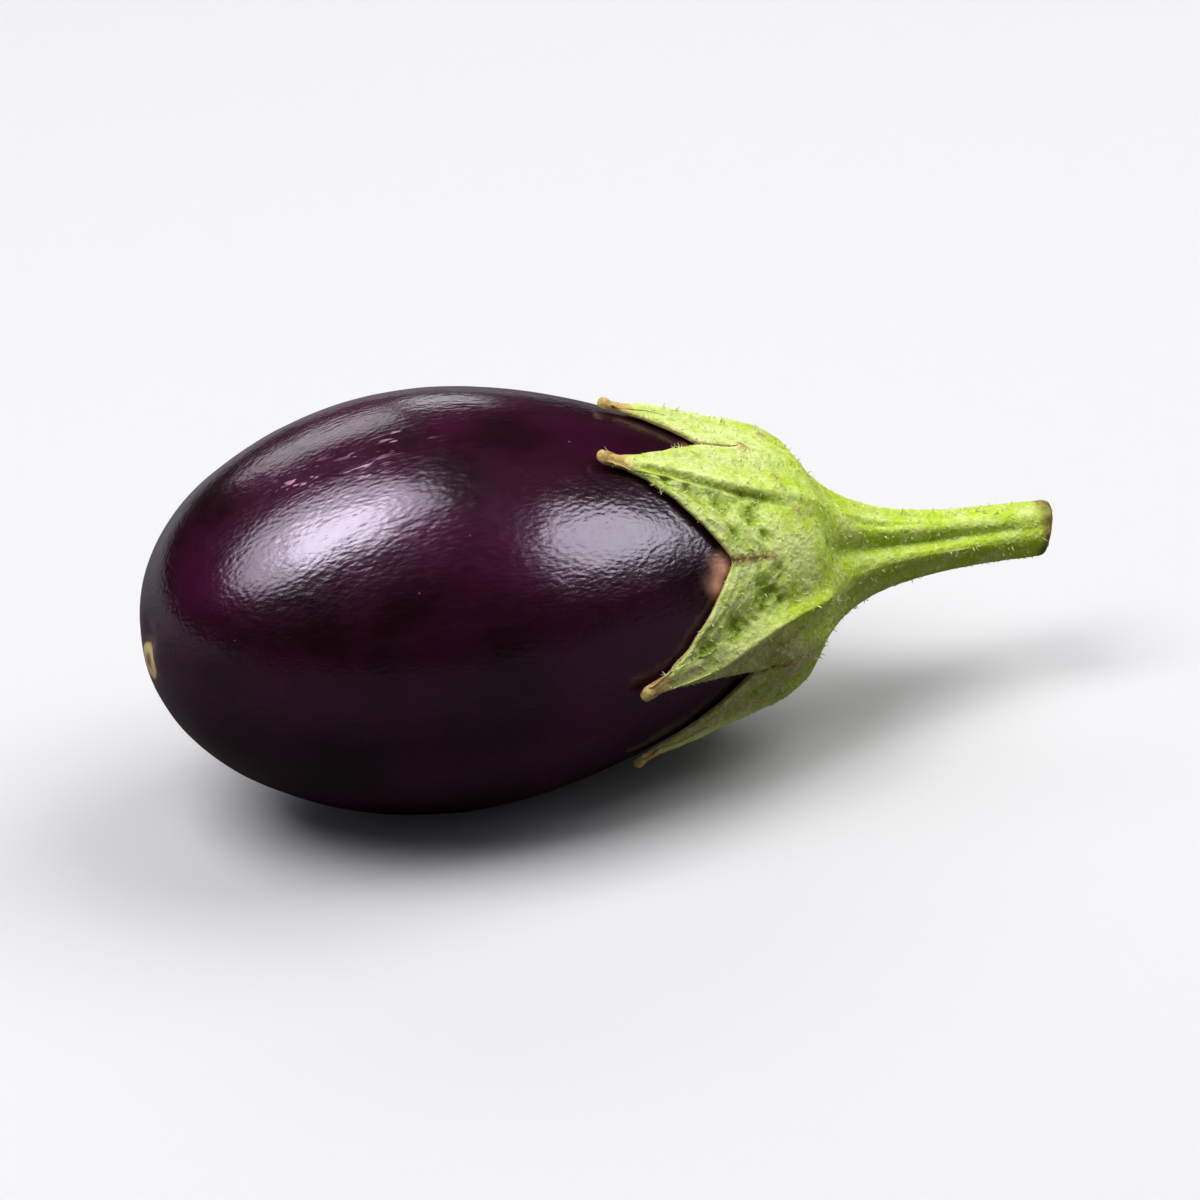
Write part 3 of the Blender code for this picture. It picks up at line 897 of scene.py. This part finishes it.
def cap_relief(places, marks, outside):
    """The height of the green body's small forms, and how deep each place lies among them."""
    pits = 0.75 * uneven(places, 3.0 * MM, 1) + 0.55 * uneven(places, 1.3 * MM, 8)
    pits = smoothstep(-0.02, 0.42, pits)
    folds = 1.0 - 3.0 * np.abs(uneven(places, 1.5 * MM, 5))
    torn = marks["pit"] * np.clip(0.85 + 0.8 * uneven(places, 1.0 * MM, 9), 0.0, 1.2)
    # How deep each place lies, which sets the felt's painted shade in its hollows, grooves and furrows.
    hollow_shade = marks["crumple"] * np.clip(0.45 * pits + 0.25 * (1.0 - folds), 0.0, 1.0)
    hollow_shade += torn + 0.9 * marks["groove"] + 0.8 * marks["furrow"]
    hollow_shade = np.clip(hollow_shade, 0.0, 1.0)
    height = SOFT_LUMPS * uneven(places, 4.5 * MM, 3) + GRAIN * uneven(places, 0.8 * MM, 2)
    height += marks["crumple"] * (FOLDS * folds - PITS * pits + FINE_FOLDS * uneven(places, 0.7 * MM, 6))
    height += SHOULDER_PADS * marks["shoulder"] - GROOVE_DEPTH * marks["groove"] - HOLLOW_DEPTH * torn
    height += SCUFF_HEIGHT * marks["scuff"] - SEAM_DEPTH * marks["seam"]
    height *= outside * (1.0 - 0.8 * marks["edge"]) * (1.0 - 0.6 * marks["tip"])
    height += CUT_GRAIN * uneven(places, 0.7 * MM, 4) * marks["cut_face"]
    return height * MM, hollow_shade


def felt_material(settings):
    """Living calyx tissue, felted with star-shaped hairs.

    The hairs make it look soft and pale. The paler green along its midribs is a painted highlight,
    and the deep green in its hollows, grooves and furrows is painted shade; the grey-olive on its
    lower lobes is partly painted shade too. Its thin edges, fingers and scuffs have gone dry and
    corky brown.
    """
    material, tree, shader, place = new_material("felted_green_calyx")
    mottled = add(tree, "ShaderNodeTexNoise", {"Vector": place, "Scale": 420.0, "Detail": 5.0})["Fac"]
    felted = add(tree, "ShaderNodeAttribute", attribute_name="felted")["Fac"]
    thick = add(tree, "ShaderNodeMath", {0: felted, 1: 0.22, 2: mottled}, operation="MULTIPLY_ADD")[0]
    amount = add(tree, "ShaderNodeMapRange", {"Value": thick, 1: 0.42, 2: 0.80})[0]
    colours = {0: amount, 6: (*settings.green_colour, 1.0), 7: (*settings.pale_colour, 1.0)}
    colour = add(tree, "ShaderNodeMix", colours, data_type="RGBA")[2]
    netted = add(tree, "ShaderNodeTexNoise", {"Vector": place, "Scale": 1100.0, "Detail": 4.0})["Fac"]
    stains = (
        # Grey-olive: partly real drying, partly painted shade on the lower lobes.
        ("dried", 1.15, 2.00, "#9C9A68"),
        # Painted highlight along the midrib ridge.
        ("keel", 1.20, 2.20, "#E2F08C"),
        # Painted shade: the hollows, grooves and furrows go a darker green by how deep they lie.
        ("hollow_shade", 0.90, 1.70, "#A2C01E"),
        ("hollow_shade", 1.35, 2.10, "#84981A"),
        ("under", 0.80, 1.60, "#8C8A5A"),
        ("edge", 1.00, 1.70, "#B08C5E"),
        ("seam", 1.15, 1.80, "#6A4620"),
        ("scuff", 1.10, 1.80, "#A87E58"),
        ("tip", 1.20, 1.90, "#C6A662"),
        ("stem_end", 0.95, 2.10, "#74622A"),
        ("cut_face", 0.80, 1.50, "#B79D6C"),
        ("pith", 1.00, 1.70, "#4A3820"),
    )
    colour = stain(tree, colour, netted, 2.0, stains)
    # Tufts of felt are pale specks 0.3 mm wide; between them the green tissue shows.
    hairy = add(tree, "ShaderNodeAttribute", attribute_name="hairy")["Fac"]
    tufts = (hairy, 2600.0, 1.0, 0.57, 0.68, 0.40, "#EEF6B4")
    bare = (hairy, 950.0, 1.0, 0.54, 0.66, 0.40, "#9CBC22")
    colour = fleck(tree, colour, place, (tufts, bare))
    tree.links.new(colour, shader.inputs["Base Color"])
    felt = add(tree, "ShaderNodeTexNoise", {"Vector": place, "Scale": 2600.0, "Detail": 2.0})["Fac"]
    fine = add(tree, "ShaderNodeBump", {"Height": felt, "Distance": 0.00012, "Strength": 0.9})[0]
    coarse = {"Height": netted, "Distance": 0.0004, "Strength": 0.9, "Normal": fine}
    tree.links.new(add(tree, "ShaderNodeBump", coarse)[0], shader.inputs["Normal"])
    shader.inputs["Roughness"].default_value = 0.7
    shader.inputs["IOR"].default_value = 1.35
    shader.inputs["Specular IOR Level"].default_value = 0.3
    shader.inputs["Sheen Weight"].default_value = 0.03
    shader.inputs["Sheen Roughness"].default_value = 0.5
    shader.inputs["Sheen Tint"].default_value = linear("#F2F6D8")
    return material


class CalyxSettings(bpy.types.PropertyGroup):
    """Colours of the calyx and stem, and the sizes of their hairs."""

    green_colour: FloatVectorProperty(
        name="Green", description="Felt over living tissue", subtype="COLOR", default=linear("#B2CC22")[:3]
    )
    pale_colour: FloatVectorProperty(
        name="Pale Green", description="Thick felt", subtype="COLOR", default=linear("#D2DE88")[:3]
    )
    hair_colour: FloatVectorProperty(
        name="Hairs", description="Colour of single hairs", subtype="COLOR", default=linear("#E8EFA8")[:3]
    )
    prickle_length: FloatProperty(
        name="Prickle Length", description="Of the longest standing hairs", default=0.00065, unit="LENGTH"
    )
    prickle_width: FloatProperty(
        name="Prickle Width", description="Radius of such a hair's root", default=0.00008, unit="LENGTH"
    )
    prickles_per_area: FloatProperty(
        name="Prickles", description="Number in a square metre", default=0.35e6, min=0.0
    )
    felt_length: FloatProperty(
        name="Felt Length", description="Of the longest lying hairs", default=0.0007, unit="LENGTH"
    )
    felt_width: FloatProperty(
        name="Felt Width", description="Radius of such a hair", default=0.00005, unit="LENGTH"
    )
    felt_per_area: FloatProperty(name="Felt", description="Number in a square metre", default=1.3e6, min=0.0)
    seed: IntProperty(name="Seed", description="Changes where the hairs stand", default=4)


class EGGPLANT_OT_calyx(bpy.types.Operator):
    """Make the calyx with its lobes, and the furrowed stem with its cut end"""

    bl_idname = "eggplant.calyx"
    bl_label = "Calyx and Stem"

    def execute(self, context):
        cap = Cap(LOBE_COLUMNS)
        rings = cap_rings(cap)
        mesh = cap_mesh(cap, rings)
        places = points_of(mesh)
        marks, outside = cap_marks(cap, rings, places)
        # The felt is painted a darker green as shade where it lies deep.
        height, marks["hollow_shade"] = cap_relief(places, marks, outside)
        normals = np.array([vertex.normal for vertex in mesh.vertices])
        raised = places + normals * height[:, None]
        # The stem's end meets the end of its solid.
        past = np.maximum(raised[:, 0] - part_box("fruit")[1][0], 0.0)
        raised[:, 0] += past / past.max() * (CAD_BOX[1][0] - raised[:, 0].max())
        put_points(mesh, raised)
        marks["hairy"] = outside * (1.0 - marks["stem_end"]) * (1.0 - 0.9 * marks["tip"])
        keep_values(mesh, marks)
        thing = bpy.data.objects.new("calyx_and_cut_stem", mesh)
        context.scene.collection.objects.link(thing)
        dress(thing, "calyx_and_stem", felt_material(context.scene.eggplant_calyx))
        return {"FINISHED"}


def hair_tree():
    """Short tapered hairs that stand or lie on a surface where it is marked hairy."""
    inputs = dict.fromkeys(("Length", "Width", "Density"), "NodeSocketFloat")
    inputs.update({"Least Lean": "NodeSocketVector", "Most Lean": "NodeSocketVector"})
    inputs.update({"Seed": "NodeSocketInt", "Material": "NodeSocketMaterial"})
    tree, given, end = geometry_tree("hairs", inputs)
    hairy = add(tree, "GeometryNodeInputNamedAttribute", {"Name": "hairy"}, data_type="FLOAT")[0]
    density = add(tree, "ShaderNodeMath", {0: hairy, 1: given["Density"]}, operation="MULTIPLY")[0]
    scatter = {"Mesh": given["Geometry"], "Density": density, "Seed": given["Seed"]}
    spots = add(tree, "GeometryNodeDistributePointsOnFaces", scatter)
    shape = {"Vertices": 3, "Radius Top": 0.2, "Radius Bottom": 1.0, "Depth": 1.0}
    cone = add(tree, "GeometryNodeMeshCone", shape)["Mesh"]
    leans = {0: given["Least Lean"], 1: given["Most Lean"], "Seed": given["Seed"]}
    lean = add(tree, "FunctionNodeRandomValue", leans, data_type="FLOAT_VECTOR")[0]
    turns = {0: spots["Rotation"], 1: lean}
    turn = add(tree, "FunctionNodeRotateRotation", turns, rotation_space="LOCAL")[0]
    sizes = {2: 0.3, 3: 1.0, "Seed": given["Seed"]}
    share = add(tree, "FunctionNodeRandomValue", sizes, data_type="FLOAT")[1]
    length = add(tree, "ShaderNodeMath", {0: share, 1: given["Length"]}, operation="MULTIPLY")[0]
    size = add(tree, "ShaderNodeCombineXYZ", {"X": given["Width"], "Y": given["Width"], "Z": length})[0]
    hairs = {"Points": spots["Points"], "Instance": cone, "Rotation": turn, "Scale": size}
    standing = add(tree, "GeometryNodeInstanceOnPoints", hairs)
    return close_tree(tree, standing[0], given["Material"], end)


def hair_material(settings):
    """Dead plant hairs: dry, pale and dull."""
    material, tree, shader, place = new_material("dry_pale_hair")
    tint = add(tree, "ShaderNodeTexNoise", {"Vector": place, "Scale": 300.0})["Fac"]
    colours = {0: tint, 6: linear("#B9C47E"), 7: (*settings.hair_colour, 1.0)}
    tree.links.new(add(tree, "ShaderNodeMix", colours, data_type="RGBA")[2], shader.inputs["Base Color"])
    shader.inputs["Roughness"].default_value = 0.7
    return material


class EGGPLANT_OT_hairs(bpy.types.Operator):
    """Stand prickles and lay felt on the calyx and the stem"""

    bl_idname = "eggplant.hairs"
    bl_label = "Hairs"

    def execute(self, context):
        settings = context.scene.eggplant_calyx
        material, tree = hair_material(settings), hair_tree()
        prickles = (settings.prickle_length, settings.prickle_width, settings.prickles_per_area)
        felt = (settings.felt_length, settings.felt_width, settings.felt_per_area)
        # Prickles stand up and felt lies down; they lean by at least and at most so many radians.
        for name, (length, width, density), least, most in (
            ("calyx_prickles", prickles, 0.0, 0.6),
            ("calyx_felt", felt, 1.2, 1.5),
        ):
            values = {
                "Length": length,
                "Width": width,
                "Density": density,
                "Least Lean": (least, 0.0, 0.0),
                "Most Lean": (most, 0.0, tau),
                "Seed": settings.seed,
                "Material": material,
            }
            ground = bpy.data.objects["calyx_and_cut_stem"].data.copy()
            hairs = grow(name, ground, tree, values)
            hairs.data.materials.clear()
            hairs.data.materials.append(material)
            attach(hairs, "root")
        return {"FINISHED"}


# The stage.


class StageSettings(bpy.types.PropertyGroup):
    """The camera and the table's colour."""

    azimuth: FloatProperty(
        name="Azimuth", description="Of the camera, from -Y", default=radians(-19.5), subtype="ANGLE"
    )
    elevation: FloatProperty(
        name="Elevation", description="Of the camera", default=radians(28.0), subtype="ANGLE"
    )
    roll: FloatProperty(name="Roll", description="Of the camera", default=radians(-1.62), subtype="ANGLE")
    distance: FloatProperty(
        name="Distance", description="From the camera to the eggplant", default=0.75, unit="LENGTH"
    )
    view_width: FloatProperty(
        name="View Width", description="Of what the camera sees there", default=0.128, unit="LENGTH"
    )
    floor_colour: FloatVectorProperty(
        name="Floor", description="Colour of the table", subtype="COLOR", default=linear("#CECDCF")[:3]
    )


# Studio lights: azimuth, elevation, distance, shape, width, height and power. The first three light
# the eggplant, and the others show only as reflections, each the shape of a window in the wax.
LAMPS = (
    ("key", -84.0, 62.0, 0.85, "RECTANGLE", 0.55, 0.55, 6.6),
    ("fill", 95.0, 55.0, 0.80, "RECTANGLE", 0.60, 0.60, 4.9),
    ("back", 172.0, 35.0, 0.90, "RECTANGLE", 0.80, 0.25, 1.4),
)
WINDOWS = (
    ("key_window", -82.0, 66.5, 0.85, "ELLIPSE", 0.62, 1.14, 14.5),
    ("key_core", -70.0, 68.0, 0.84, "ELLIPSE", 0.32, 0.58, 8.0),
    ("fill_window", 66.0, 34.5, 0.80, "ELLIPSE", 0.48, 0.38, 5.4),
    ("back_window", -179.0, 30.0, 0.90, "RECTANGLE", 0.37, 0.34, 1.2),
    ("back_glint", 160.5, 17.0, 0.88, "ELLIPSE", 0.18, 0.17, 0.26),
)
# How far left of the eggplant's middle and below it the camera aims.
AIM_LEFT = 1.0 * MM
AIM_DOWN = 3.7 * MM
# In the wax, the table is darkest round this place and lightest along this way from the origin.
DARK_PLACE = (-0.02, 0.0, 0.0)
LIGHT_WAY = (-0.6, 0.8, 0.0)


def direction(azimuth, elevation):
    """The way from the eggplant towards something at an azimuth and elevation."""
    flat = cos(elevation)
    return Vector((sin(azimuth) * flat, -cos(azimuth) * flat, sin(elevation)))


def add_light(name, azimuth, elevation, distance, shape, width, height, power, middle):
    """An area light that faces the eggplant."""
    light = bpy.data.lights.new(name, "AREA")
    light.shape = shape
    light.size, light.size_y = width, height
    light.energy = power
    box = bpy.data.objects.new(name, light)
    towards = direction(radians(azimuth), radians(elevation))
    box.location = middle + towards * distance
    box.rotation_euler = towards.to_track_quat("Z", "Y").to_euler()
    bpy.context.scene.collection.objects.link(box)
    return box


def add_camera(settings, middle):
    """A long lens at the photograph's viewing angle."""
    data = bpy.data.cameras.new("camera")
    data.lens = data.sensor_width * settings.distance / settings.view_width
    camera = bpy.data.objects.new("camera", data)
    back = direction(settings.azimuth, settings.elevation)
    turn = back.to_track_quat("Z", "Y").to_matrix().to_4x4() @ Matrix.Rotation(settings.roll, 4, "Z")
    aim = middle - turn.col[0].to_3d() * AIM_LEFT - turn.col[1].to_3d() * AIM_DOWN
    camera.matrix_world = Matrix.Translation(aim + back * settings.distance) @ turn
    bpy.context.scene.collection.objects.link(camera)
    bpy.context.scene.camera = camera


def add_floor(colour):
    """A plain matt table top."""
    bpy.ops.mesh.primitive_plane_add(size=6.0)
    floor = bpy.context.object
    floor.name = "floor"
    material, tree, shader, place = new_material("matt_table")
    # The light that the eggplant gets back from the table is darker than the table looks. In the wax
    # the table is darkest under the berry, lighter around it and lightest behind it and to its left.
    rays = add(tree, "ShaderNodeLightPath")
    away = add(tree, "ShaderNodeVectorMath", {0: place, 1: DARK_PLACE}, operation="DISTANCE")["Value"]
    behind = add(tree, "ShaderNodeVectorMath", {0: place, 1: LIGHT_WAY}, operation="DOT_PRODUCT")["Value"]
    mirrored = linear("#080708")
    for measure, start, end, shade in (
        (away, 0.035, 0.06, "#413C44"),
        (away, 0.14, 0.22, "#1E1B1F"),
        (behind, 0.08, 0.20, "#98949C"),
    ):
        amount = add(tree, "ShaderNodeMapRange", {"Value": measure, 1: start, 2: end})[0]
        shades = {0: amount, 6: mirrored, 7: linear(shade)}
        mirrored = add(tree, "ShaderNodeMix", shades, data_type="RGBA")[2]
    shades = {0: rays["Is Glossy Ray"], 6: linear("#5A5558"), 7: mirrored}
    given_back = add(tree, "ShaderNodeMix", shades, data_type="RGBA")[2]
    shades = {0: rays["Is Camera Ray"], 6: given_back, 7: (*colour, 1.0)}
    tree.links.new(add(tree, "ShaderNodeMix", shades, data_type="RGBA")[2], shader.inputs["Base Color"])
    shader.inputs["Roughness"].default_value = 0.85
    floor.data.materials.append(material)


def add_sky():
    """Dim grey surroundings, which are darker still in reflections."""
    world = bpy.context.scene.world or bpy.data.worlds.new("studio")
    bpy.context.scene.world = world
    world.use_nodes = True
    sky = world.node_tree.nodes["Background"]
    sky.inputs["Color"].default_value = linear("#A8A8B0")
    mirrored = add(world.node_tree, "ShaderNodeLightPath")["Is Glossy Ray"]
    strength = add(world.node_tree, "ShaderNodeMapRange", {"Value": mirrored, 3: 0.30, 4: 0.04})[0]
    world.node_tree.links.new(strength, sky.inputs["Strength"])


class EGGPLANT_OT_stage(bpy.types.Operator):
    """Make the table, the studio light and the camera"""

    bl_idname = "eggplant.stage"
    bl_label = "Stage"

    def execute(self, context):
        settings = context.scene.eggplant_stage
        middle = (Vector(CAD_BOX[0]) + Vector(CAD_BOX[1])) / 2.0
        add_floor(settings.floor_colour)
        for lamp in LAMPS:
            add_light(*lamp, middle).visible_glossy = False
        for window in WINDOWS:
            add_light(*window, middle).visible_diffuse = False
        add_sky()
        add_camera(settings, middle)
        context.scene.view_settings.view_transform = "Standard"
        return {"FINISHED"}


class EGGPLANT_PT_sidebar(bpy.types.Panel):
    """Lists the pieces in the sidebar"""

    bl_idname = "EGGPLANT_PT_sidebar"
    bl_label = "Baby Eggplant"
    bl_space_type = "VIEW_3D"
    bl_region_type = "UI"
    bl_category = "Eggplant"

    def draw(self, context):
        scene = context.scene
        for group, operators in (
            (scene.eggplant_berry, (EGGPLANT_OT_berry,)),
            (scene.eggplant_calyx, (EGGPLANT_OT_calyx, EGGPLANT_OT_hairs)),
            (scene.eggplant_stage, (EGGPLANT_OT_stage,)),
        ):
            box = self.layout.box()
            for name in group.__annotations__:
                box.prop(group, name)
            for operator in operators:
                box.operator(operator.bl_idname)


GROUPS = (BerrySettings, CalyxSettings, StageSettings)
OPERATORS = (EGGPLANT_OT_berry, EGGPLANT_OT_calyx, EGGPLANT_OT_hairs, EGGPLANT_OT_stage)
CLASSES = (*GROUPS, *OPERATORS, EGGPLANT_PT_sidebar)


def register():
    """Register the add-on's classes and settings."""
    for each in CLASSES:
        bpy.utils.register_class(each)
    bpy.types.Scene.eggplant_berry = PointerProperty(type=BerrySettings)
    bpy.types.Scene.eggplant_calyx = PointerProperty(type=CalyxSettings)
    bpy.types.Scene.eggplant_stage = PointerProperty(type=StageSettings)


def unregister():
    """Remove them again."""
    del bpy.types.Scene.eggplant_stage
    del bpy.types.Scene.eggplant_calyx
    del bpy.types.Scene.eggplant_berry
    for each in reversed(CLASSES):
        bpy.utils.unregister_class(each)


def main():
    """Make every piece."""
    register()
    bpy.ops.eggplant.berry()
    bpy.ops.eggplant.calyx()
    bpy.ops.eggplant.hairs()
    bpy.ops.eggplant.stage()


if __name__ == "__main__":
    main()
